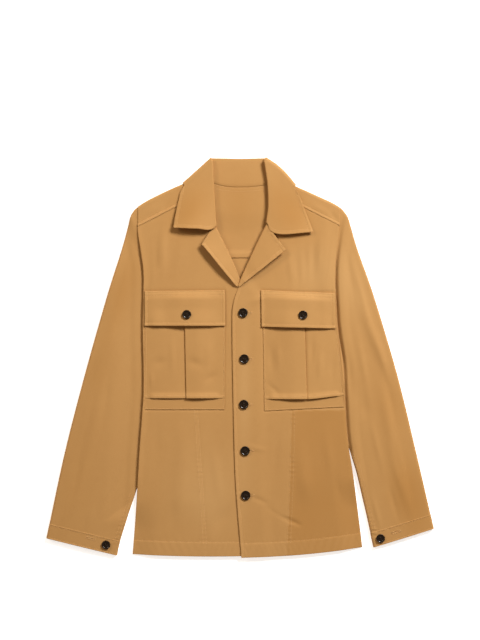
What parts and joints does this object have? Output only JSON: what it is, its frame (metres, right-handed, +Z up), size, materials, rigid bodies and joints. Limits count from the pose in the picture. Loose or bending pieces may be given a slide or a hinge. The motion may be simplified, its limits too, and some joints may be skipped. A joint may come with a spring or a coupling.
{
  "type": "overshirt laid flat",
  "caption": "Camel cotton overshirt laid flat, front up, buttoned, with notched collar, turned lapels, flapped and pleated chest pockets, and sleeves down with button cuffs.",
  "frame": {"origin": "bottom centre of the bounding box, on the surface that the garment lies on", "axes": "+Z up from the surface, +Y from hem to collar, +X to the right as seen from above"},
  "size_m": [0.7216, 0.7428, 0.0216],
  "materials": {
    "cloth": "matt camel cotton twill with tonal sewing",
    "button": "dark brown-black polished four-hole buttons"
  },
  "bodies": {
    "root": {"back": "cloth", "yoke": "cloth", "front_left": "cloth", "front_right": "cloth", "lapel_left": "cloth", "lapel_right": "cloth", "collar": "cloth", "sleeve_left": "cloth", "sleeve_right": "cloth", "sleeve_under_left": "cloth", "sleeve_under_right": "cloth", "cuff_left": "cloth", "cuff_right": "cloth", "pocket_left": "cloth", "pocket_right": "cloth", "pocket_band_left": "cloth", "pocket_band_right": "cloth", "flap_left": "cloth", "flap_right": "cloth", "button_front_1": "button", "button_front_2": "button", "button_front_3": "button", "button_front_4": "button", "button_front_5": "button", "button_flap_left": "button", "button_flap_right": "button", "button_cuff_left": "button", "button_cuff_right": "button"}
  },
  "joints": []
}
